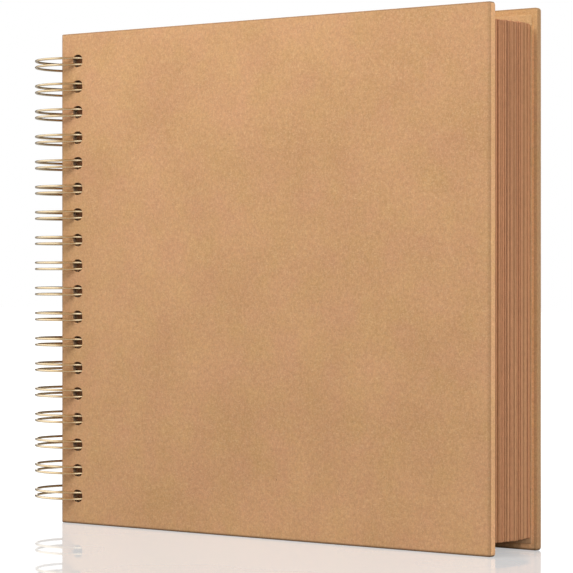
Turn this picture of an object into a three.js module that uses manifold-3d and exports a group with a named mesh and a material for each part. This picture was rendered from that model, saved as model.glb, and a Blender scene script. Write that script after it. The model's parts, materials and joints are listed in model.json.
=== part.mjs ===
// A wire-bound scrapbook album, closed and standing upright on the bottom edges of its covers.
// Units are millimetres and +Z is up. The front cover faces -Y, the spine is at -X and the fore-edge at +X.
// Every moving piece turns about one vertical line, the axis of the binding loops.
import * as THREE from "three";
import { mergeVertices } from "three/addons/utils/BufferGeometryUtils.js";
import Module from "manifold-3d";

const wasm = await Module();
wasm.setup();

// Binding: twin loops at the standard 2:1 pitch, two loops to the inch.
const LOOP_PITCH = 12.7;
const LOOP_COUNT = 18;
const LOOP_RADIUS = 23.5; // the wire's centre line
const PAIR_SPACING = 3.2; // between the two wires of one loop
const WIRE_RADIUS = 0.62;
const WIRE_SIDES = 4;
const LOOP_STEP = 18; // degrees between stations along a loop
const LINK_ANGLE = 77; // degrees from +X towards +Y: the line of links, behind the back cover
const TIP_ANGLE = 72; // where the closed loops' tips end, just short of the links
const LINK_BEND = 1.2; // bend radius where a loop turns into a link
const CUT_TAIL = 1.0; // wire left past the first and last bend

// Covers: greyboard wrapped in kraft paper, with a lining pasted inside.
const END_MARGIN = 13.7; // from the top and bottom edges to the first and last loop
const COVER_HEIGHT = (LOOP_COUNT - 1) * LOOP_PITCH + 2 * END_MARGIN;
const COVER_WIDTH = 260;
const CLOSED_THICKNESS = 39;
const WRAP = 0.4;
const PASTE_GAP = 0.1;
const BOARD = 2.1;
const TURN_IN = 0.3; // thickness of the wrap where it is folded onto the inner face
const TURN_IN_WIDTH = 7;
const LINING = 0.3;
const LINING_MARGIN = 3; // the lining stops this far inside the cover's edges
const COVER_THICKNESS = WRAP + BOARD + TURN_IN + LINING + 3 * PASTE_GAP;
const SPINE_OFFSET = 4.2; // from the loops' axis to the covers' spine edge
const COVER_HOLE_INSET = 10.7; // from the spine edge to the hole centres
const COVER_HOLE_RADIUS = 3.3; // to the flats of the six-sided hole

// Leaves: each solid stands for two sheets of card lying together.
const LEAF_COUNT = 20;
const LEAF_THICKNESS = 1.2;
const LEAF_WIDTH = 249.7;
const LEAF_INSET_Z = 6.4; // how much the covers overhang the leaves, above and below
const LEAF_DROP = 0.8; // the leaves hang by their holes, so they sit this much below the middle
const LEAF_HOLE = 6.6; // side of the square hole
const LEAF_HOLE_INSET = 8; // from the leaf's spine edge to the hole centres
const END_LEAF_HOLE_X = 19.1; // hole centres of the first and last leaf, from the loops' axis
const LEAF_FOLLOW = 0.4; // how far the leaves between them follow the curve of the wire

// Places worked out from the sizes above.
const degrees = THREE.MathUtils.degToRad;
const VERTEX_RADIUS = (2 * LOOP_RADIUS) / (1 + Math.cos(degrees(LOOP_STEP / 2)));
const LOOP_REACH = VERTEX_RADIUS + WIRE_RADIUS;
const AXIS_X = (LOOP_REACH - SPINE_OFFSET - COVER_WIDTH) / 2;
const STACK_DEPTH = CLOSED_THICKNESS - 2 * COVER_THICKNESS;
const LEAF_PITCH = STACK_DEPTH / LEAF_COUNT;

const loopHeight = (loop) => END_MARGIN + loop * LOOP_PITCH;

// ---------------------------------------------------------------- solids

function toSolid(geometry) {
  geometry.deleteAttribute("normal");
  geometry.deleteAttribute("uv");
  const merged = mergeVertices(geometry);
  return new wasm.Manifold(
    new wasm.Mesh({
      numProp: 3,
      vertProperties: new Float32Array(merged.attributes.position.array),
      triVerts: new Uint32Array(merged.index.array),
    }),
  );
}

function toGeometry(solid) {
  const mesh = solid.getMesh();
  const geometry = new THREE.BufferGeometry();
  geometry.setAttribute("position", new THREE.BufferAttribute(mesh.vertProperties, 3));
  geometry.setIndex(new THREE.BufferAttribute(mesh.triVerts, 1));
  geometry.computeVertexNormals();
  return geometry;
}

// A box given by its lowest and highest corners.
function boxSolid(low, high) {
  const size = high.map((value, i) => value - low[i]);
  const geometry = new THREE.BoxGeometry(...size);
  geometry.translate(...low.map((value, i) => value + size[i] / 2));
  return toSolid(geometry);
}

// A punch: a prism of `sides` sides along Y, centred on (x, 0, z) and through the whole album.
// `flat` is the distance from its middle to its flat faces, one of which faces +X.
function punchTool(x, z, flat, sides) {
  const corner = flat / Math.cos(Math.PI / sides);
  const geometry = new THREE.CylinderGeometry(corner, corner, 2 * CLOSED_THICKNESS, sides);
  geometry.rotateY(Math.PI / 2 - Math.PI / sides);
  geometry.translate(x, 0, z);
  return toSolid(geometry);
}

function punch(solid, x, flat, sides) {
  let punched = solid;
  for (let loop = 0; loop < LOOP_COUNT; loop += 1) {
    punched = punched.subtract(punchTool(x, loopHeight(loop), flat, sides));
  }
  return punched;
}

// ---------------------------------------------------------------- covers

// The covers are drawn at the back and measured from the loops' axis: `side` is 1 for back, -1 for front.
// Depths are counted inwards from the outer face.
function coverPlate(side, inset, near, far) {
  const outer = CLOSED_THICKNESS / 2;
  const depths = [side * (outer - near), side * (outer - far)].sort((a, b) => a - b);
  return boxSolid(
    [SPINE_OFFSET + inset, depths[0], inset],
    [SPINE_OFFSET + COVER_WIDTH - inset, depths[1], COVER_HEIGHT - inset],
  );
}

function punchCover(solid) {
  return toGeometry(punch(solid, SPINE_OFFSET + COVER_HOLE_INSET, COVER_HOLE_RADIUS, 6));
}

// The kraft wrap: the outer face, the four edges and the turn-in, as one folded sheet.
function wrapGeometry(side) {
  const boardEnd = WRAP + BOARD + 2 * PASTE_GAP;
  const sheet = coverPlate(side, 0, 0, boardEnd + TURN_IN);
  const pocket = coverPlate(side, WRAP, WRAP, boardEnd);
  const window = coverPlate(side, TURN_IN_WIDTH, WRAP, COVER_THICKNESS);
  return punchCover(sheet.subtract(pocket).subtract(window));
}

function boardGeometry(side) {
  const start = WRAP + PASTE_GAP;
  return punchCover(coverPlate(side, start, start, start + BOARD));
}

function liningGeometry(side) {
  return punchCover(
    coverPlate(side, LINING_MARGIN, COVER_THICKNESS - LINING, COVER_THICKNESS),
  );
}

// ---------------------------------------------------------------- leaves

const wireX = (y) => Math.sqrt(LOOP_RADIUS ** 2 - y ** 2);

// Leaf 0 lies next to the front cover. The holes hang on the wire, so the stack bulges a little mid-way.
function leafGeometry(leaf) {
  const y = (leaf + 0.5) * LEAF_PITCH - STACK_DEPTH / 2;
  const endY = (LEAF_PITCH - STACK_DEPTH) / 2;
  const holeX = END_LEAF_HOLE_X + LEAF_FOLLOW * (wireX(y) - wireX(endY));
  const spine = holeX - LEAF_HOLE_INSET;
  const plate = boxSolid(
    [spine, y - LEAF_THICKNESS / 2, LEAF_INSET_Z],
    [spine + LEAF_WIDTH, y + LEAF_THICKNESS / 2, COVER_HEIGHT - LEAF_INSET_Z],
  );
  const geometry = toGeometry(punch(plate, holeX, LEAF_HOLE / 2, 4));
  geometry.translate(0, 0, -LEAF_DROP);
  return geometry;
}

// ---------------------------------------------------------------- binding wire

// The wire is laid out flat, u along the loop and z up, then rolled onto the loops' cylinder.
function arcPoints(centreU, centreZ, radius, from, to, steps) {
  const points = [];
  for (let i = 1; i < steps; i += 1) {
    const angle = degrees(from + ((to - from) * i) / steps);
    const u = centreU + radius * Math.cos(angle);
    points.push(new THREE.Vector2(u, centreZ + radius * Math.sin(angle)));
  }
  return points;
}

// One pass round the loop at height z: a station at each end and at every LOOP_STEP between them.
function passPoints(z, startU, endU) {
  const stepU = VERTEX_RADIUS * degrees(LOOP_STEP);
  const points = [new THREE.Vector2(startU, z)];
  for (let turn = degrees(90) * VERTEX_RADIUS; turn < endU - stepU / 3; turn += stepU) {
    points.push(new THREE.Vector2(turn, z));
  }
  points.push(new THREE.Vector2(endU, z));
  return points;
}

function wireLayout() {
  const half = PAIR_SPACING / 2;
  const linkU = VERTEX_RADIUS * degrees(LINK_ANGLE);
  const startU = linkU + LINK_BEND;
  const endU = VERTEX_RADIUS * degrees(TIP_ANGLE + 360) - half;
  const reach = half + LINK_BEND;
  const points = [new THREE.Vector2(linkU, loopHeight(0) - reach - CUT_TAIL)];
  for (let loop = 0; loop < LOOP_COUNT; loop += 1) {
    const z = loopHeight(loop);
    points.push(
      new THREE.Vector2(linkU, z - reach),
      ...arcPoints(startU, z - reach, LINK_BEND, 180, 90, 2),
      ...passPoints(z - half, startU, endU),
      ...arcPoints(endU, z, half, -90, 90, 4),
      ...passPoints(z + half, startU, endU).reverse(),
      ...arcPoints(startU, z + reach, LINK_BEND, -90, -180, 2),
      new THREE.Vector2(linkU, z + reach),
    );
  }
  points.push(new THREE.Vector2(linkU, loopHeight(LOOP_COUNT - 1) + reach + CUT_TAIL));
  return points;
}

// A path through the rolled-up stations, with its frames kept square to the loops' cylinder.
class RolledPath extends THREE.Curve {
  constructor(layout, radius) {
    super();
    this.stations = layout.map(({ x: u, y: z }) => {
      const angle = u / radius;
      return new THREE.Vector3(radius * Math.cos(angle), radius * Math.sin(angle), z);
    });
  }

  getPoint(t) {
    return this.stations[Math.round(t * (this.stations.length - 1))].clone();
  }

  getUtoTmapping(u) {
    return u;
  }

  direction(from, to) {
    return new THREE.Vector3().subVectors(this.stations[to], this.stations[from]).normalize();
  }

  computeFrenetFrames() {
    const last = this.stations.length - 1;
    const frames = { tangents: [], normals: [], binormals: [] };
    this.stations.forEach((station, i) => {
      const before = this.direction(Math.max(i - 1, 0), Math.max(i, 1));
      const after = this.direction(Math.min(i, last - 1), Math.min(i + 1, last));
      const tangent = before.add(after).normalize();
      const normal = new THREE.Vector3(station.x, station.y, 0);
      normal.addScaledVector(tangent, -normal.dot(tangent)).normalize();
      frames.tangents.push(tangent);
      frames.normals.push(normal);
      frames.binormals.push(new THREE.Vector3().crossVectors(tangent, normal));
    });
    return frames;
  }
}

function wireGeometry() {
  const path = new RolledPath(wireLayout(), VERTEX_RADIUS);
  const corners = [];
  for (let i = 0; i < WIRE_SIDES; i += 1) {
    const angle = (2 * Math.PI * i) / WIRE_SIDES;
    const corner = new THREE.Vector2(Math.cos(angle), Math.sin(angle));
    corners.push(corner.multiplyScalar(WIRE_RADIUS));
  }
  return new THREE.ExtrudeGeometry(new THREE.Shape(corners), {
    steps: path.stations.length - 1,
    extrudePath: path,
  });
}

// ---------------------------------------------------------------- assembly

const kraft = { color: 0xc39a6e, roughness: 0.85, metalness: 0 };
const greyboard = { color: 0x9a8468, roughness: 0.95, metalness: 0 };
const endpaper = { color: 0xd0a880, roughness: 0.85, metalness: 0 };
const card = { color: 0xa9794f, roughness: 0.9, metalness: 0 };
const goldWire = { color: 0xd9c39a, roughness: 0.25, metalness: 1 };

function piece(name, geometry, look) {
  const mesh = new THREE.Mesh(geometry, new THREE.MeshStandardMaterial(look));
  mesh.name = name;
  return mesh;
}

function cover(name, side) {
  const group = new THREE.Group();
  group.add(
    piece(`${name}_wrap`, wrapGeometry(side), kraft),
    piece(`${name}_board`, boardGeometry(side), greyboard),
    piece(`${name}_lining`, liningGeometry(side), endpaper),
  );
  return group;
}

const album = new THREE.Group();
album.position.x = AXIS_X;
album.add(cover("front", -1), cover("back", 1));
album.add(piece("binding_wire", wireGeometry(), goldWire));
for (let leaf = 0; leaf < LEAF_COUNT; leaf += 1) {
  const number = String(leaf + 1).padStart(2, "0");
  album.add(piece(`leaf_${number}`, leafGeometry(leaf), card));
}

export default album;
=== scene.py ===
import json
import math
import random

import bmesh
import bpy
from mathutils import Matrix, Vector


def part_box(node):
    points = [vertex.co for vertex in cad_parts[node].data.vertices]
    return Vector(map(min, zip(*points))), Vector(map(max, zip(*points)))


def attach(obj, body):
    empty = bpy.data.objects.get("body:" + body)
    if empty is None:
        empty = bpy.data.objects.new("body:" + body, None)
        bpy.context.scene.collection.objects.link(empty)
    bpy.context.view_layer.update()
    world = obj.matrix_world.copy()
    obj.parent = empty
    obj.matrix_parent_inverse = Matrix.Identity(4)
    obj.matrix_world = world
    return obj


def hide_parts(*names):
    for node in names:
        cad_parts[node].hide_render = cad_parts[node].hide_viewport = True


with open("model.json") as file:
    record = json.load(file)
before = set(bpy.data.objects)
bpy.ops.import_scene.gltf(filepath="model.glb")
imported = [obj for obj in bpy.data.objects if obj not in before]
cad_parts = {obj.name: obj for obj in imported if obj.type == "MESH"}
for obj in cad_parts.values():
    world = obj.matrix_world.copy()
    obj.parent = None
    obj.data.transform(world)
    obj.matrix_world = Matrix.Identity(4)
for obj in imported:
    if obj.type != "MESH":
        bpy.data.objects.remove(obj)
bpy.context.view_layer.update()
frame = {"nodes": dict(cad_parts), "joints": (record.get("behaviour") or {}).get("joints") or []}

MM = 0.001

# ---------------------------------------------------------------- sizes

LOOPS = 18
LOOP_PITCH = 12.7 * MM
LOOP_RADIUS = 23.5 * MM
PAIR_SPACING = 3.2 * MM
WIRE_RADIUS = 0.6 * MM
LINK_ANGLE = math.radians(77)
TIP_ANGLE = math.radians(72)
LINK_BEND = 1.2 * MM
CUT_TAIL = 1.0 * MM
WIRE_SIDES = 12
WIRE_STEP = math.radians(4)
BEND_STEPS = 5
TIP_STEPS = 10

COVER_HOLE_INSET = 10.7 * MM
COVER_HOLE_WIDE = 3.25 * MM
COVER_HOLE_HIGH = 3.1 * MM
COVER_HOLE_SQUARENESS = 2.5
WRAP = 0.4 * MM
LINING = 0.3 * MM
TURN_IN = 0.3 * MM
TURN_IN_WIDTH = 7 * MM
COVER_CORNER = 1.6 * MM
COVER_EDGE = 0.45 * MM
SPINE_CORNER_SQUARENESS = 8

COVER_HOLE_CUTS = 8
COVER_HOLE_ROLL = 0.08 * MM
POCKET_INSET = 0.5 * MM
POCKET_EDGE = 0.3 * MM
WINDOW_CORNER = 0.4 * MM
WINDOW_EDGE = 0.1 * MM
BOARD_INSET = 0.1 * MM
BOARD_CORNER = 1.0 * MM
BOARD_EDGE = 0.25 * MM
LINING_CORNER = 0.8 * MM
LINING_EDGE = 0.1 * MM
LINING_HOLE_ROLL = 0.04 * MM

SHEET_THICKNESS = 0.66 * MM
SHEET_CORNER = 0.5 * MM
SHEET_EDGE = 0.08 * MM
SHEET_HOLE = 3.3 * MM
SHEET_HOLE_SQUARENESS = 6
SHEET_HOLE_CUTS = 4
SHEET_HOLE_INSET = 8 * MM
SHEET_SLACK = 0.32 * MM
SHEET_SEED = 7

# How far a sheet strays from its place, in millimetres: the lowest and highest of each random draw.
SHEET_SHIFT = (-0.45, 0.25)
SHEET_DROP = (-0.2, 0.2)
SHEET_LEAN = (-0.12, 0.12)
SHEET_WAVE = (0.02, 0.05)

# Grid steps (column, row) of a slab's flat faces.
FINE_GRID = (8 * MM, 2 * MM)
INNER_GRID = (20 * MM, 10 * MM)
SHEET_GRID = (22 * MM, 10 * MM)
TOOL_GRID = (80 * MM, 80 * MM)

# Surfaces that meet at more than this angle keep a crease.
CREASE = math.radians(38)

front_low, front_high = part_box("front_wrap")
back_low, back_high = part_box("back_wrap")
axis_x = frame["joints"][0]["pos_m"][0]
middle_z = (front_low.z + front_high.z) / 2
hole_heights = [middle_z + LOOP_PITCH * (loop - (LOOPS - 1) / 2) for loop in range(LOOPS)]

# ---------------------------------------------------------------- camera

CAMERA_TURN = math.radians(39.11)
CAMERA_DISTANCE = 1.1620
CAMERA_OFFSET = 0.0897
CAMERA_HEIGHT = 0.1243
CAMERA_LENS = 167.0
CAMERA_SENSOR = 36
CAMERA_SHIFT = -0.0233
CAMERA_REACH = 20


def make_camera():
    """A level camera, placed from the front cover's bottom fore-edge corner."""
    data = bpy.data.cameras.new("camera")
    data.lens = CAMERA_LENS
    data.sensor_width = CAMERA_SENSOR
    data.shift_y = CAMERA_SHIFT
    data.clip_end = CAMERA_REACH
    camera = bpy.data.objects.new("camera", data)
    right = Vector((math.cos(CAMERA_TURN), math.sin(CAMERA_TURN), 0))
    ahead = Vector((-math.sin(CAMERA_TURN), math.cos(CAMERA_TURN), 0))
    corner = Vector((front_high.x, front_low.y, 0))
    camera.location = corner - CAMERA_OFFSET * right - CAMERA_DISTANCE * ahead
    camera.location.z = CAMERA_HEIGHT
    camera.rotation_euler = (math.radians(90), 0, CAMERA_TURN)
    bpy.context.scene.collection.objects.link(camera)
    bpy.context.scene.camera = camera


# ---------------------------------------------------------------- node helpers


class Shader:
    """Short calls for building a material's nodes."""

    def __init__(self, name):
        self.material = bpy.data.materials.new(name)
        self.material.use_nodes = True
        self.tree = self.material.node_tree
        self.principled = self.tree.nodes["Principled BSDF"]
        self.coordinates = self.tree.nodes.new("ShaderNodeTexCoord").outputs["Object"]

    def node(self, kind, inputs=None, **settings):
        made = self.tree.nodes.new(kind)
        for key, value in settings.items():
            setattr(made, key, value)
        for key, value in (inputs or {}).items():
            if isinstance(value, bpy.types.NodeSocket):
                self.tree.links.new(value, made.inputs[key])
            else:
                made.inputs[key].default_value = value
        return made

    def stretch(self, scale, turn=(0, 0, 0)):
        """Object coordinates in metres, turned and then scaled."""
        return self.node(
            "ShaderNodeMapping",
            {"Vector": self.coordinates, "Rotation": turn, "Scale": scale},
        ).outputs["Vector"]

    def noise(self, scale, detail=3.0, roughness=0.55, turn=(0, 0, 0), distortion=0.0):
        """Noise with `scale` cells to the metre, one number or one for each axis."""
        sizes = scale if isinstance(scale, tuple) else (scale,) * 3
        return self.node(
            "ShaderNodeTexNoise",
            {
                "Vector": self.stretch(sizes, turn),
                "Scale": 1.0,
                "Detail": detail,
                "Roughness": roughness,
                "Distortion": distortion,
            },
        ).outputs["Fac"]

    def spread(self, value, low, high, to_low=0.0, to_high=1.0):
        return self.node(
            "ShaderNodeMapRange",
            {
                "Value": value,
                "From Min": low,
                "From Max": high,
                "To Min": to_low,
                "To Max": to_high,
            },
            clamp=True,
        ).outputs["Result"]

    def math(self, operation, a, b):
        return self.node("ShaderNodeMath", {0: a, 1: b}, operation=operation).outputs[0]

    def mix(self, amount, a, b, blend="MIX"):
        made = self.node("ShaderNodeMix", data_type="RGBA", blend_type=blend)
        self.plug(made.inputs[0], amount)
        self.plug(made.inputs[6], a)
        self.plug(made.inputs[7], b)
        return made.outputs[2]

    def plug(self, socket, value):
        if isinstance(value, bpy.types.NodeSocket):
            self.tree.links.new(value, socket)
        else:
            socket.default_value = value

    def bump(self, height, distance, strength, under=None):
        inputs = {"Height": height, "Distance": distance, "Strength": strength}
        if under is not None:
            inputs["Normal"] = under
        return self.node("ShaderNodeBump", inputs).outputs["Normal"]

    def lifted_margin(self, x, y, from_top, fold):
        """Brightness of the back cover's inner margin, lifted to make up for the studio's shade there."""
        margin = self.spread(x, fold - 1.9 * MM, fold - 1.5 * MM, MARGIN_LIFT, 0.0)
        for value, start, end, to_start, to_end in (
            (x, fold - 10 * MM, fold - 8 * MM, 0.0, 1.0),
            (y, back_low.y + 0.5 * MM, back_low.y + 0.7 * MM, 1.0, 0.0),
            (from_top, 7 * MM, 9 * MM, 0.0, 1.0),
        ):
            margin = self.math("MULTIPLY", margin, self.spread(value, start, end, to_start, to_end))
        return self.math("ADD", margin, 1.0)

    def edge_wear_and_painted_light(self, colour, painted_fold_tone, fore_edge_x, lifted):
        """Darken a cover's worn top and spine edges and paint shade along its foot where it meets the
        floor.
        Then paint the light and shade before the fore-edge fold and on it.

        `lifted` paints light on the inner margin before the fold. Without it a band of painted shade lies
        there.
        """
        place = self.node("ShaderNodeSeparateXYZ", {"Vector": self.coordinates})
        x, y, z = place.outputs["X"], place.outputs["Y"], place.outputs["Z"]
        from_top = self.math("SUBTRACT", front_high.z, z)
        from_spine = self.math("SUBTRACT", x, front_low.x)
        # Worn top and spine edges, times painted shade along the foot where the cover meets the floor.
        wear_and_foot_shade = self.math(
            "MULTIPLY",
            self.spread(self.math("MINIMUM", from_top, from_spine), 0.3 * MM, 0.8 * MM, RUBBED_TONE, 1.0),
            self.spread(z, 0.4 * MM, 1.2 * MM, FOOT_PAINTED_SHADE, 1.0),
        )
        # From here on the tones are painted light and painted shade at the fore-edge, not marks on the
        # paper.
        fold = fore_edge_x - 0.6 * COVER_EDGE
        if lifted:
            before = self.lifted_margin(x, y, from_top, fold)
        else:
            before = self.spread(x, fold - 2.4 * MM, fold - 0.4 * MM, 1.0, BAND_PAINTED_SHADE)
        folded = self.spread(x, fold - 0.1 * MM, fold + 0.1 * MM, 0.0, 1.0)
        band = self.node(
            "ShaderNodeMix", {0: folded, 2: before, 3: painted_fold_tone}, data_type="FLOAT"
        ).outputs[0]
        tone = self.math("MULTIPLY", wear_and_foot_shade, band)
        grey = self.node("ShaderNodeCombineColor", {0: tone, 1: tone, 2: tone}).outputs[0]
        return self.mix(1.0, colour, grey, "MULTIPLY")

    def finish(self, colour, roughness, normal):
        self.plug(self.principled.inputs["Base Color"], colour)
        self.plug(self.principled.inputs["Roughness"], roughness)
        self.plug(self.principled.inputs["Normal"], normal)
        return self.material


def rgb(red, green, blue):
    return (red, green, blue, 1.0)


# ---------------------------------------------------------------- materials

KRAFT_FRONT = (rgb(0.604, 0.337, 0.164), rgb(0.532, 0.291, 0.137))
KRAFT_BACK = (rgb(0.60, 0.345, 0.165), rgb(0.54, 0.300, 0.140))
KRAFT_LINING = (rgb(0.63, 0.385, 0.20), rgb(0.57, 0.340, 0.172))
FIBRE_PALE = rgb(0.80, 0.56, 0.33)
FIBRE_SHADOW = rgb(0.31, 0.165, 0.075)
FLECK = rgb(0.20, 0.10, 0.05)

CARD_DARK, CARD_LIGHT = rgb(0.42, 0.205, 0.100), rgb(0.55, 0.290, 0.145)
CARD_TINT = rgb(0.53, 0.240, 0.125)
# Painted shade: the colour of the dark lines that stand in for the gaps between stacked sheets.
CARD_GAP_SHADE = rgb(0.24, 0.105, 0.055)
CARD_FIBRE = rgb(0.60, 0.36, 0.20)

BOARD_DARK, BOARD_LIGHT = rgb(0.16, 0.10, 0.06), rgb(0.30, 0.21, 0.14)
GOLD_DEEP, GOLD_PALE = rgb(0.84, 0.64, 0.38), rgb(0.95, 0.79, 0.54)

# Brightness of a cover's paper, as a share of its plain colour. MARGIN_LIFT is added to that share.
# The tone along the top and spine edges is wear. The tone at the foot is painted shade where the cover
# meets the floor. The tones at the fore-edge are painted light and painted shade that make up for what the
# studio's light leaves out, and aren't marks on the paper: painted shade in the band before the front's
# fold and on the back's fold, painted light on the front's fold and on the back's inner margin.
RUBBED_TONE = 0.62
FOOT_PAINTED_SHADE = 0.35
BAND_PAINTED_SHADE = 0.74
FRONT_FOLD_PAINTED_LIGHT = 1.25
BACK_FOLD_PAINTED_SHADE = 0.76
MARGIN_LIFT = 0.4


def kraft_paper(name, colours, painted_fold_tone=1.0, fore_edge_x=None, lifted=False):
    """Unbleached kraft: soft clouds, short fibres lying in three directions, and a few dark flecks.

    `colours` are its light and dark tones. A cover gives the x of its fore-edge, and its paper is then
    darker along its worn top and spine edges, with painted shade along its foot, and its fold at the
    fore-edge takes a painted tone: painted light where that tone is above one, painted shade where below.
    """
    light, dark = colours
    shader = Shader(name)
    clouds = shader.spread(shader.noise(24, 3), 0.3, 0.7)
    colour = shader.mix(clouds, dark, light)
    drift = shader.spread(shader.noise(60, 3, 0.6, (0.3, 0.0, 0.1)), 0.32, 0.68)
    hue = shader.mix(drift, rgb(0.99, 1.02, 0.955), rgb(1.015, 0.975, 1.045))
    colour = shader.mix(1.0, colour, hue, "MULTIPLY")
    mottle = shader.spread(shader.noise(680, 5, 0.75), 0.28, 0.72)
    shade = shader.mix(mottle, rgb(0.835, 0.82, 0.80), rgb(1.135, 1.135, 1.135))
    colour = shader.mix(1.0, colour, shade, "MULTIPLY")
    fibres = None
    for stretch, turn, tilt in (
        ((900, 2600, 1800), 0.10, 0.02),
        ((2600, 2600, 700), 1.35, 0.14),
        ((1700, 2600, 1500), 1.85, 0.26),
    ):
        lines = shader.noise(stretch, 2, 0.5, (tilt, turn, 0.0), 0.4)
        fibres = lines if fibres is None else shader.math("MAXIMUM", fibres, lines)
    strands = shader.spread(fibres, 0.56, 0.78)
    colour = shader.mix(shader.math("MULTIPLY", strands, 0.45), colour, FIBRE_PALE)
    shadows = shader.spread(shader.noise((1500, 1500, 1300), 3, 0.6, (0, 1.3, 0)), 0.56, 0.74)
    colour = shader.mix(shader.math("MULTIPLY", shadows, 0.38), colour, FIBRE_SHADOW)
    flecks = shader.node(
        "ShaderNodeTexVoronoi",
        {"Vector": shader.stretch((170, 170, 120), (0, 0.5, 0)), "Scale": 1.0},
    )
    chosen = shader.node("ShaderNodeSeparateColor", {"Color": flecks.outputs["Color"]})
    rare = shader.spread(chosen.outputs[0], 0.975, 0.985)
    dot = shader.spread(flecks.outputs["Distance"], 0.03, 0.08, 0.7, 0.0)
    colour = shader.mix(shader.math("MULTIPLY", rare, dot), colour, FLECK)
    if fore_edge_x is not None:
        colour = shader.edge_wear_and_painted_light(colour, painted_fold_tone, fore_edge_x, lifted)
    roughness = shader.spread(mottle, 0.0, 1.0, 0.66, 0.82)
    soft = shader.bump(shader.noise(900, 3, 0.6), 0.12 * MM, 0.35)
    fine = shader.bump(fibres, 0.10 * MM, 0.45, soft)
    shader.principled.inputs["Specular IOR Level"].default_value = 0.3
    shader.principled.inputs["Sheen Weight"].default_value = 0.03
    return shader.finish(colour, roughness, fine)


def page_card():
    """Darker kraft card. Its tone changes from sheet to sheet, so the stacked edges read as fine lines."""
    shader = Shader("page_card")
    strata = shader.noise((3, 900, 3), 2, 0.5)
    colour = shader.mix(shader.spread(strata, 0.33, 0.67), CARD_DARK, CARD_LIGHT)
    tint = shader.spread(shader.noise((2, 230, 2), 1, 0.5), 0.42, 0.60)
    colour = shader.mix(shader.math("MULTIPLY", tint, 0.45), colour, CARD_TINT)
    # Painted shade: thin dark lines across the stacked edges, standing in for the shaded gaps between
    # sheets.
    gaps = shader.spread(shader.noise((2, 640, 2), 1, 0.5, (0.0, 0.0, 0.02)), 0.60, 0.68)
    colour = shader.mix(shader.math("MULTIPLY", gaps, 0.5), colour, CARD_GAP_SHADE)
    mottle = shader.spread(shader.noise(500, 4, 0.65), 0.3, 0.7)
    shade = shader.mix(mottle, rgb(0.90, 0.89, 0.88), rgb(1.07, 1.07, 1.07))
    colour = shader.mix(1.0, colour, shade, "MULTIPLY")
    fibres = shader.noise((500, 3000, 2400), 2, 0.5, (0.1, 0.8, 0.0), 0.4)
    strands = shader.spread(fibres, 0.6, 0.8)
    colour = shader.mix(shader.math("MULTIPLY", strands, 0.25), colour, CARD_FIBRE)
    normal = shader.bump(fibres, 0.08 * MM, 0.5)
    shader.principled.inputs["Specular IOR Level"].default_value = 0.3
    return shader.finish(colour, shader.spread(mottle, 0, 1, 0.75, 0.88), normal)


def greyboard():
    """Grey-brown recycled board, seen only where the holes are punched through it."""
    shader = Shader("greyboard")
    layers = shader.spread(shader.noise((300, 5000, 300), 3, 0.6), 0.3, 0.7)
    colour = shader.mix(layers, BOARD_DARK, BOARD_LIGHT)
    normal = shader.bump(shader.noise(2500, 3), 0.1 * MM, 0.6)
    return shader.finish(colour, shader.spread(layers, 0, 1, 0.85, 0.95), normal)


def gold_wire():
    """Pale gold plating with faint drawing lines and small changes in gloss."""
    shader = Shader("gold_wire")
    drift = shader.spread(shader.noise(90, 3), 0.3, 0.7)
    colour = shader.mix(drift, GOLD_DEEP, GOLD_PALE)
    gloss = shader.spread(shader.noise(1600, 3, 0.6), 0.3, 0.7, 0.13, 0.22)
    normal = shader.bump(shader.noise(2600, 2), 0.01 * MM, 0.25)
    shader.principled.inputs["Metallic"].default_value = 1.0
    return shader.finish(colour, gloss, normal)


# ---------------------------------------------------------------- meshes


def loose_object(name, mesh_data):
    """Write a bmesh as an object in the scene."""
    bmesh.ops.recalc_face_normals(mesh_data, faces=mesh_data.faces)
    data = bpy.data.meshes.new(name)
    mesh_data.to_mesh(data)
    mesh_data.free()
    made = bpy.data.objects.new(name, data)
    bpy.context.scene.collection.objects.link(made)
    return made


def smooth(data):
    """Shade a mesh smoothly, apart from its creases."""
    data.shade_smooth()
    data.set_sharp_from_angle(angle=CREASE)


def make_object(name, mesh_data, material, body, nodes):
    """Write a bmesh as a named piece that rides on a body and stands for CAD nodes."""
    piece = loose_object(name, mesh_data)
    piece.data.materials.append(material)
    smooth(piece.data)
    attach(piece, body)
    if nodes:
        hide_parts(*nodes)
    return piece


def spaced(start, end, step):
    """Evenly spaced values from start to end, as near to `step` apart as they fit."""
    count = max(1, round((end - start) / step))
    return [start + (end - start) * i / count for i in range(count + 1)]


def quarter(radius, steps):
    """Points (run, drop) of a quarter circle that starts level and ends upright."""
    turns = [math.radians(90) * i / steps for i in range(steps + 1)]
    return [(radius * math.sin(t), radius * (1 - math.cos(t))) for t in turns]


def superellipse(across, up, squareness):
    """How far a rounded square of half-size 1 reaches in the direction (across, up). 2 makes a circle."""
    return (abs(across) ** squareness + abs(up) ** squareness) ** (-1 / squareness)


class Punch:
    """A row of holes at the loops' heights: rounded squares, from 2 for a circle to 6 for a blunt square.

    `wide` and `high` are half sizes. `cuts` is the number of segments along each side of a hole, and
    `roll` is how far the punch rolls its rim in.
    """

    def __init__(self, x, wide, high, squareness, cuts, roll=0.0):
        self.x, self.wide, self.high = x, wide, high
        self.squareness, self.cuts, self.roll = squareness, cuts, roll

    def outline(self, height, grow):
        """Points (x, z) round one hole, starting at its lower left corner."""
        count = 4 * self.cuts
        points = []
        for i in range(count):
            angle = math.radians(-135 + 360 * i / count)
            across, up = math.cos(angle), math.sin(angle)
            reach = superellipse(across, up, self.squareness)
            points.append(
                (
                    self.x + (self.wide + grow) * reach * across,
                    height + (self.high + grow) * reach * up,
                )
            )
        return points


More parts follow.
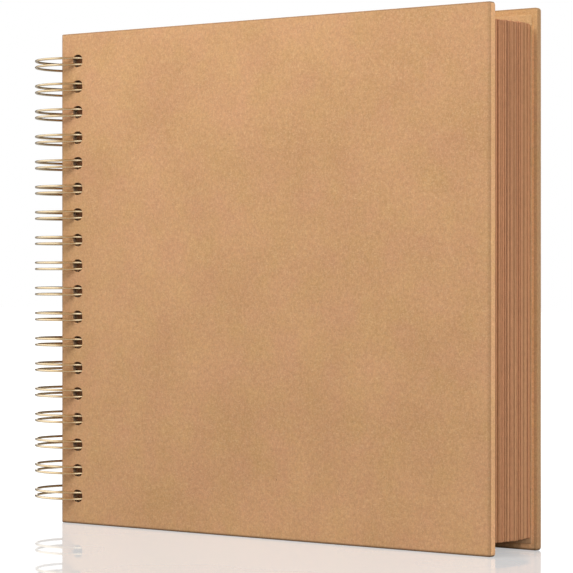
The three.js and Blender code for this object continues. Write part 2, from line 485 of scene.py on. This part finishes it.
class Slab:
    """A closed slab with rounded corners and edges, drawn in x and z and sunk along its depth.

    `plan` is its outline (x_low, x_high, z_low, z_high), and `place` turns (x, z, depth) into a point of
    the album's frame. `grid` is the step of a face's grid in x and in z. A punched hole sits in a square
    cell of that grid, one loop pitch wide where there is room, so that every face stays a clean quad.
    """

    CORNER_STEPS = 6
    EDGE_STEPS = 4
    CELL_MARGIN = 0.3 * MM
    LEVEL = 0.01  # a direction's part across or up that is smaller than this counts as none

    def __init__(self, plan, depth, corner, edge, place, grid, holes=None, spine_squareness=2):
        self.x_low, self.x_high, self.z_low, self.z_high = plan
        self.depth, self.corner, self.edge = depth, corner, edge
        self.place, self.holes = place, holes
        self.column, self.row = grid
        self.spine_squareness = spine_squareness
        self.mesh = bmesh.new()

    def point(self, x, z, depth):
        return self.mesh.verts.new(self.place(x, z, depth))

    def grid_lines(self):
        """The x and z values of the face's grid, and the cells in it that hold a hole."""
        x_start, x_end = self.x_low + self.corner, self.x_high - self.corner
        z_start, z_end = self.z_low + self.corner, self.z_high - self.corner
        if not self.holes:
            return spaced(x_start, x_end, self.column), spaced(z_start, z_end, self.row), {}
        hole_x, cuts, pitch = self.holes.x, self.holes.cuts, LOOP_PITCH
        half = min(pitch / 2, hole_x - x_start - self.CELL_MARGIN)
        xs = spaced(x_start, hole_x - half, self.column)
        first_column = len(xs) - 1
        xs += [hole_x - half + 2 * half * i / cuts for i in range(1, cuts + 1)]
        xs += spaced(hole_x + half, x_end, self.column)[1:]
        zs = spaced(z_start, hole_heights[0] - pitch / 2, self.row)
        cells = {}
        for height in hole_heights:
            cells[(first_column, len(zs) - 1)] = height
            zs += [height - pitch / 2 + pitch * i / cuts for i in range(1, cuts + 1)]
        zs += spaced(hole_heights[-1] + pitch / 2, z_end, self.row)[1:]
        return xs, zs, cells

    def face(self, depth):
        """One face of the slab. Returns its rim, corner by corner, and the rim of each hole."""
        xs, zs, cells = self.grid_lines()
        cuts = self.holes.cuts if self.holes else 0
        inside, hollow = set(), set()
        for column, row in cells:
            inside.update((column + i, row + j) for i in range(cuts) for j in range(cuts))
            hollow.update((column + i, row + j) for i in range(1, cuts) for j in range(1, cuts))
        grid = {}
        for i, x in enumerate(xs):
            for j, z in enumerate(zs):
                if (i, j) not in hollow:
                    grid[i, j] = self.point(x, z, depth)
        for i in range(len(xs) - 1):
            for j in range(len(zs) - 1):
                if (i, j) not in inside:
                    corners = [grid[i, j], grid[i + 1, j], grid[i + 1, j + 1], grid[i, j + 1]]
                    self.mesh.faces.new(corners)
        rims = [
            self.hole_rim(grid, column, row, cuts, height, depth)
            for (column, row), height in cells.items()
        ]
        last_i, last_j = len(xs) - 1, len(zs) - 1
        sides = [
            ([(i, 0) for i in range(last_i + 1)], -90),
            ([(last_i, j) for j in range(last_j + 1)], 0),
            ([(i, last_j) for i in range(last_i, -1, -1)], 90),
            ([(0, j) for j in range(last_j, -1, -1)], 180),
        ]
        rim = []
        for steps, facing in sides:
            for i, j in steps:
                rim.append((grid[i, j], xs[i], zs[j], math.radians(facing)))
            for turn in range(1, self.CORNER_STEPS):
                angle = math.radians(facing + 90 * turn / self.CORNER_STEPS)
                rim.append((*rim[-1][:3], angle))
        return rim, rims

    def hole_rim(self, grid, column, row, cuts, height, depth):
        """Fill a cell between its square border and its round hole. Returns the hole's points."""
        border = [(column + i, row) for i in range(cuts)]
        border += [(column + cuts, row + j) for j in range(cuts)]
        border += [(column + cuts - i, row + cuts) for i in range(cuts)]
        border += [(column, row + cuts - j) for j in range(cuts)]
        ring = [self.point(x, z, depth) for x, z in self.holes.outline(height, self.holes.roll)]
        self.bridge([grid[key] for key in border], ring)
        return ring

    def bridge(self, first, second):
        """Quads, or triangles where two neighbours are one point, between two rings of equal length."""
        count = len(first)
        for i in range(count):
            j = (i + 1) % count
            corners = []
            for vertex in (first[i], first[j], second[j], second[i]):
                if vertex not in corners:
                    corners.append(vertex)
            if len(corners) > 2:
                self.mesh.faces.new(corners)

    def ring(self, rim, out, depth):
        """The rim moved outwards by `out`, with its two corners at the spine squared up."""
        points = []
        for _, x, z, angle in rim:
            across, up = math.cos(angle), math.sin(angle)
            reach = out
            if across < -self.LEVEL and abs(up) > self.LEVEL:
                reach *= superellipse(across, up, self.spine_squareness)
            points.append(self.point(x + reach * across, z + reach * up, depth))
        return points

    def build(self):
        near_rim, near_holes = self.face(0.0)
        far_rim, far_holes = self.face(self.depth)
        flat = self.corner - self.edge
        profile = [(flat + run, drop) for run, drop in quarter(self.edge, self.EDGE_STEPS)]
        profile += [(out, self.depth - drop) for out, drop in reversed(profile)]
        previous = [corner[0] for corner in near_rim]
        for out, depth in profile:
            ring = self.ring(near_rim, out, depth)
            self.bridge(previous, ring)
            previous = ring
        self.bridge(previous, [corner[0] for corner in far_rim])
        if self.holes:
            self.line_holes(near_holes, far_holes)
        return self.mesh

    def line_holes(self, near_holes, far_holes):
        """The wall of each hole, with its rim rolled in by the punch."""
        roll = self.holes.roll
        drops = [roll, self.depth - roll] if roll > 0 else []
        for near, far, height in zip(near_holes, far_holes, hole_heights):
            previous = near
            for depth in drops:
                ring = [self.point(x, z, depth) for x, z in self.holes.outline(height, 0.0)]
                self.bridge(previous, ring)
                previous = ring
            self.bridge(previous, far)


# ---------------------------------------------------------------- covers


def outer_y(side, low, high):
    """The y of a box's outer face. `side` is -1 for the front cover and 1 for the back cover."""
    return low.y if side < 0 else high.y


def cover_place(side, start=0.0):
    """Places a cover's points. Their depth counts inwards from `start` below the cover's outer face."""
    outer = outer_y(side, front_low, back_high)

    def place(x, z, depth):
        return Vector((x, outer - side * (depth + start), z))

    return place


def inset_plan(low, high, inset=0.0):
    """The plan of a box in x and z, drawn in by `inset` on every side."""
    return (low.x + inset, high.x - inset, low.z + inset, high.z - inset)


def boolean_cut(target, tool):
    """Cut `tool` out of `target` and drop the tool."""
    modifier = target.modifiers.new("cut", "BOOLEAN")
    modifier.operation = "DIFFERENCE"
    modifier.solver = "EXACT"
    modifier.object = tool
    graph = bpy.context.evaluated_depsgraph_get()
    cut = bpy.data.meshes.new_from_object(target.evaluated_get(graph))
    target.modifiers.clear()
    target.data = cut
    bpy.data.objects.remove(tool)


def make_cover(name, side, body, materials):
    """The paper wrap, cut out for the board and inside its turn-in, then the board and the lining."""
    low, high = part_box(f"{name}_wrap")
    outer = outer_y(side, low, high)
    depth = high.y - low.y
    hole = (low.x + COVER_HOLE_INSET, COVER_HOLE_WIDE, COVER_HOLE_HIGH, COVER_HOLE_SQUARENESS)
    holes = Punch(*hole, COVER_HOLE_CUTS, COVER_HOLE_ROLL)
    wrap = Slab(
        inset_plan(low, high),
        depth,
        COVER_CORNER,
        COVER_EDGE,
        cover_place(side),
        FINE_GRID,
        holes,
        SPINE_CORNER_SQUARENESS,
    )
    paper = make_object(
        f"{name}_paper", wrap.build(), materials[name], body, [f"{name}_wrap"]
    )
    pocket = Slab(
        inset_plan(low, high, POCKET_INSET),
        depth - WRAP - TURN_IN,
        COVER_CORNER - POCKET_INSET,
        POCKET_EDGE,
        cover_place(side, WRAP),
        TOOL_GRID,
    )
    boolean_cut(paper, loose_object("pocket", pocket.build()))
    window = Slab(
        inset_plan(low, high, TURN_IN_WIDTH),
        4 * TURN_IN,
        WINDOW_CORNER,
        WINDOW_EDGE,
        cover_place(side, depth - 2 * TURN_IN),
        TOOL_GRID,
    )
    boolean_cut(paper, loose_object("window", window.build()))
    smooth(paper.data)

    board_low, board_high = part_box(f"{name}_board")
    board = Slab(
        inset_plan(board_low, board_high, BOARD_INSET),
        board_high.y - board_low.y,
        BOARD_CORNER,
        BOARD_EDGE,
        cover_place(side, abs(outer - outer_y(side, board_low, board_high))),
        INNER_GRID,
        holes,
    )
    make_object(
        f"{name}_greyboard", board.build(), materials["board"], body, [f"{name}_board"]
    )
    lining_low, lining_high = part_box(f"{name}_lining")
    lining = Slab(
        inset_plan(lining_low, lining_high),
        LINING,
        LINING_CORNER,
        LINING_EDGE,
        cover_place(side, abs(outer - outer_y(side, lining_low, lining_high))),
        INNER_GRID,
        Punch(*hole, COVER_HOLE_CUTS, LINING_HOLE_ROLL),
    )
    make_object(
        f"{name}_endpaper",
        lining.build(),
        materials["lining"],
        body,
        [f"{name}_lining"],
    )


# ---------------------------------------------------------------- pages


def make_sheets(material):
    """Two sheets for each leaf, a little out of line with each other."""
    rng = random.Random(SHEET_SEED)
    leaves = sorted(node for node in frame["nodes"] if node.startswith("leaf_"))
    for leaf in leaves:
        low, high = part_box(leaf)
        slack = (high.y - low.y) - 2 * SHEET_THICKNESS + SHEET_SLACK
        start = (low.y + high.y) / 2 - SHEET_THICKNESS - slack / 2
        shares = [rng.random() ** 2 + 0.05 for _ in range(3)]
        gaps = [slack * share / sum(shares) for share in shares]
        for number in range(2):
            y = start + sum(gaps[: number + 1]) + number * SHEET_THICKNESS
            make_sheet(leaf, number, low, high, y, rng, material)


def make_sheet(leaf, number, low, high, y, rng, material):
    """One sheet of a leaf, with its own width, height on the wire, lean and wave."""
    shift = rng.uniform(*SHEET_SHIFT) * MM
    drop = rng.uniform(*SHEET_DROP) * MM
    lean = rng.uniform(*SHEET_LEAN) * MM
    wave = rng.uniform(*SHEET_WAVE) * MM
    phase = rng.uniform(0, math.tau)
    height = high.z - low.z
    width = high.x - low.x
    hang = middle_z - (low.z + high.z) / 2

    def place(x, z, depth):
        out = (x - low.x) / width
        bend = wave * out * math.sin(phase + math.tau * (z - low.z) / height)
        return Vector((x + lean * (z - low.z) / height, y + depth + bend, z - hang + drop))

    hole = (low.x + SHEET_HOLE_INSET, SHEET_HOLE, SHEET_HOLE, SHEET_HOLE_SQUARENESS)
    holes = Punch(*hole, SHEET_HOLE_CUTS)
    plan = (low.x, high.x + shift, low.z + hang, high.z + hang)
    sheet = Slab(plan, SHEET_THICKNESS, SHEET_CORNER, SHEET_EDGE, place, SHEET_GRID, holes)
    name = f"sheet_{leaf[-2:]}_{'ab'[number]}"
    make_object(name, sheet.build(), material, leaf, [leaf] if number == 0 else [])


# ---------------------------------------------------------------- binding wire


def wire_layout():
    """The wire laid out flat, (u, z), with u along the loop: loops, closed tips, bends and links."""
    half = PAIR_SPACING / 2
    link_u = LOOP_RADIUS * LINK_ANGLE
    start_u = link_u + LINK_BEND
    end_u = LOOP_RADIUS * (TIP_ANGLE + math.tau) - half
    reach = half + LINK_BEND
    turns = spaced(start_u, end_u, LOOP_RADIUS * WIRE_STEP)

    def arc(centre_u, centre_z, radius, start, end, steps):
        angles = [math.radians(start + (end - start) * i / steps) for i in range(1, steps)]
        return [(centre_u + radius * math.cos(a), centre_z + radius * math.sin(a)) for a in angles]

    points = [(link_u, hole_heights[0] - reach - CUT_TAIL)]
    for z in hole_heights:
        points.append((link_u, z - reach))
        points += arc(start_u, z - reach, LINK_BEND, 180, 90, BEND_STEPS)
        points += [(u, z - half) for u in turns]
        points += arc(end_u, z, half, -90, 90, TIP_STEPS)
        points += [(u, z + half) for u in reversed(turns)]
        points += arc(start_u, z + reach, LINK_BEND, -90, -180, BEND_STEPS)
        points.append((link_u, z + reach))
    points.append((link_u, hole_heights[-1] + reach + CUT_TAIL))
    return points


def make_wire(material):
    """A round tube swept along the layout rolled onto the loops' cylinder."""
    mesh = bmesh.new()
    stations = []
    for u, z in wire_layout():
        angle = u / LOOP_RADIUS
        outward = Vector((math.cos(angle), math.sin(angle), 0))
        stations.append((outward * LOOP_RADIUS + Vector((axis_x, 0, z)), outward))
    rings = []
    last = len(stations) - 1
    for i, (centre, outward) in enumerate(stations):
        before = (centre - stations[i - 1][0]).normalized() if i > 0 else Vector()
        after = (stations[i + 1][0] - centre).normalized() if i < last else Vector()
        along = (before + after).normalized()
        across = (outward - along * outward.dot(along)).normalized()
        beside = along.cross(across)
        angles = [math.tau * k / WIRE_SIDES for k in range(WIRE_SIDES)]
        spokes = [math.cos(a) * across + math.sin(a) * beside for a in angles]
        rings.append([mesh.verts.new(centre + WIRE_RADIUS * spoke) for spoke in spokes])
    for first, second in zip(rings, rings[1:]):
        for k in range(WIRE_SIDES):
            j = (k + 1) % WIRE_SIDES
            mesh.faces.new([first[k], first[j], second[j], second[k]])
    mesh.faces.new(rings[0])
    mesh.faces.new(rings[-1])
    make_object("twin_loop_wire", mesh, material, "back_cover", ["binding_wire"])


# ---------------------------------------------------------------- studio

FLOOR_HALF = 6.0
SOFT_LIGHT = 0.38
PANEL_LIGHT = 1.3
BACKGROUND_LIGHT = 1.0

# Each light's name, place, the point it faces, its size and its power in watts.
LIGHTS = (
    ("key", (-0.18, -0.44, 0.72), (-0.05, 0, 0.21), (0.5, 0.5), 4.9),
    ("side", (1.15, -0.42, 0.5), (0.1, 0, 0.14), (0.6, 0.6), 9.5),
    ("back", (-0.1, 1.1, 0.8), (0, 0, 0.15), (0.8, 0.8), 6.0),
)


def around(*stops):
    """Colour stops by bearing, in degrees from +X towards +Y, for a ramp that starts at -180 degrees."""
    return [((degrees + 180) / 360, colour) for degrees, colour in stops]


WHITE = rgb(1, 1, 1)
BLACK = rgb(0, 0, 0)
SHADE = rgb(0.085, 0.06, 0.035)
BOARD_GLOW = rgb(0.36, 0.23, 0.13)

# What glossy rays see: panels round about the album, dimmer overhead, and a low white backdrop.
PANELS = around(
    (-180, WHITE),
    (-116, WHITE),
    (-106, BOARD_GLOW),
    (-70, BOARD_GLOW),
    (-64, WHITE),
    (-46, WHITE),
    (-36, SHADE),
    (155, SHADE),
    (179, WHITE),
)
OVERHEAD = [(0.72, WHITE), (0.92, rgb(0.32, 0.29, 0.25)), (1.0, rgb(0.32, 0.29, 0.25))]
BACKDROP = around((115, BLACK), (119, WHITE), (139, WHITE), (143, BLACK))
BACKDROP_HEIGHT = [(0.18, WHITE), (0.24, BLACK)]


def make_floor():
    """A white table with a faint mirror image of what stands on it.

    It glows by the type of ray that meets it: white for the camera, dimmer for glossy rays, and dimmer
    still for the others, so that it throws little light up at the album.
    """
    half = FLOOR_HALF
    data = bpy.data.meshes.new("floor")
    corners = [(-half, -half, 0), (half, -half, 0), (half, half, 0), (-half, half, 0)]
    data.from_pydata(corners, [], [(0, 1, 2, 3)])
    floor = bpy.data.objects.new("floor", data)
    bpy.context.scene.collection.objects.link(floor)
    shader = Shader("floor")
    tree = shader.tree
    grain = shader.spread(shader.noise(6, 2), 0.3, 0.7)
    matt = shader.node(
        "ShaderNodeBsdfDiffuse",
        {"Color": shader.mix(grain, rgb(0.24, 0.24, 0.24), rgb(0.26, 0.26, 0.26))},
    )
    path = tree.nodes.new("ShaderNodeLightPath")
    middle = shader.node("ShaderNodeVectorMath", {0: shader.coordinates}, operation="LENGTH")
    seen = shader.spread(middle.outputs["Value"], 0.25, 0.7, 0.76, 1.1)
    seen = shader.math("MULTIPLY", seen, path.outputs["Is Camera Ray"])
    unseen = shader.spread(path.outputs["Is Glossy Ray"], 0, 1, 0.08, 0.25)
    brightness = shader.math("MAXIMUM", seen, unseen)
    glow = shader.node("ShaderNodeEmission", {"Color": rgb(1, 1, 1), "Strength": brightness})
    lit = tree.nodes.new("ShaderNodeAddShader")
    tree.links.new(matt.outputs[0], lit.inputs[0])
    tree.links.new(glow.outputs[0], lit.inputs[1])
    mirror = shader.node("ShaderNodeBsdfAnisotropic", {"Color": rgb(1, 1, 1), "Roughness": 0.03})
    polish = shader.spread(middle.outputs["Value"], 0.3, 0.9, 0.43, 0.0)
    table = tree.nodes.new("ShaderNodeMixShader")
    tree.links.new(polish, table.inputs["Fac"])
    tree.links.new(lit.outputs[0], table.inputs[1])
    tree.links.new(mirror.outputs[0], table.inputs[2])
    tree.links.new(table.outputs[0], tree.nodes["Material Output"].inputs["Surface"])
    data.materials.append(shader.material)


def area_light(name, place, aim, size, power):
    """A white panel light that shiny surfaces don't reflect."""
    data = bpy.data.lights.new(name, "AREA")
    data.shape = "RECTANGLE"
    data.size, data.size_y = size
    data.energy = power
    light = bpy.data.objects.new(name, data)
    light.location = place
    light.rotation_euler = (Vector(aim) - Vector(place)).to_track_quat("-Z", "Y").to_euler()
    light.visible_glossy = False
    bpy.context.scene.collection.objects.link(light)


def make_world():
    """White for the camera, the panels for glossy rays, and an even soft light for all the others."""
    world = bpy.data.worlds.new("studio")
    bpy.context.scene.world = world
    world.use_nodes = True
    tree = world.node_tree
    nodes, links = tree.nodes, tree.links
    nodes.clear()
    path = nodes.new("ShaderNodeLightPath")
    lights = []
    for strength in (SOFT_LIGHT, PANEL_LIGHT, BACKGROUND_LIGHT):
        light = nodes.new("ShaderNodeBackground")
        light.inputs["Color"].default_value = rgb(1, 1, 1)
        light.inputs["Strength"].default_value = strength
        lights.append(light)
    soft, panels, background = lights
    links.new(make_panels(nodes, links), panels.inputs["Color"])
    unseen = nodes.new("ShaderNodeMixShader")
    links.new(path.outputs["Is Glossy Ray"], unseen.inputs["Fac"])
    links.new(soft.outputs[0], unseen.inputs[1])
    links.new(panels.outputs[0], unseen.inputs[2])
    mix = nodes.new("ShaderNodeMixShader")
    links.new(path.outputs["Is Camera Ray"], mix.inputs["Fac"])
    links.new(unseen.outputs[0], mix.inputs[1])
    links.new(background.outputs[0], mix.inputs[2])
    output = nodes.new("ShaderNodeOutputWorld")
    links.new(mix.outputs[0], output.inputs["Surface"])


def make_panels(nodes, links):
    """The studio's panels as a colour: by the bearing round the album, and dimmer overhead."""
    coordinates = nodes.new("ShaderNodeTexCoord")
    parts = nodes.new("ShaderNodeSeparateXYZ")
    links.new(coordinates.outputs["Generated"], parts.inputs[0])
    bearing = nodes.new("ShaderNodeMath")
    bearing.operation = "ARCTAN2"
    links.new(parts.outputs["Y"], bearing.inputs[0])
    links.new(parts.outputs["X"], bearing.inputs[1])
    turns = nodes.new("ShaderNodeMapRange")
    links.new(bearing.outputs[0], turns.inputs["Value"])
    turns.inputs["From Min"].default_value = -math.pi
    turns.inputs["From Max"].default_value = math.pi

    def by(value, stops):
        ramp = nodes.new("ShaderNodeValToRGB")
        links.new(value, ramp.inputs["Fac"])
        elements = ramp.color_ramp.elements
        while len(elements) < len(stops):
            elements.new(0.5)
        for element, (position, colour) in zip(elements, stops):
            element.position = position
            element.color = colour
        return ramp.outputs["Color"]

    def blend(kind, first, second):
        both = nodes.new("ShaderNodeMix")
        both.data_type = "RGBA"
        both.blend_type = kind
        both.inputs[0].default_value = 1.0
        links.new(first, both.inputs[6])
        links.new(second, both.inputs[7])
        return both.outputs[2]

    turn, height = turns.outputs["Result"], parts.outputs["Z"]
    panels = blend("MULTIPLY", by(turn, PANELS), by(height, OVERHEAD))
    backdrop = blend("MULTIPLY", by(turn, BACKDROP), by(height, BACKDROP_HEIGHT))
    return blend("LIGHTEN", panels, backdrop)


def make_studio():
    make_floor()
    make_world()
    for light in LIGHTS:
        area_light(*light)
    bpy.context.scene.view_settings.view_transform = "Standard"


# ---------------------------------------------------------------- assembly

make_camera()
# The covers' papers carry painted light and painted shade at their fore-edges and along their feet.
looks = {
    "front": kraft_paper("kraft_front", KRAFT_FRONT, FRONT_FOLD_PAINTED_LIGHT, front_high.x),
    "back": kraft_paper("kraft_back", KRAFT_BACK, BACK_FOLD_PAINTED_SHADE, back_high.x, lifted=True),
    "lining": kraft_paper("kraft_lining", KRAFT_LINING),
    "board": greyboard(),
}
make_cover("front", -1, "front_cover", looks)
make_cover("back", 1, "back_cover", looks)
make_sheets(page_card())
make_wire(gold_wire())
make_studio()
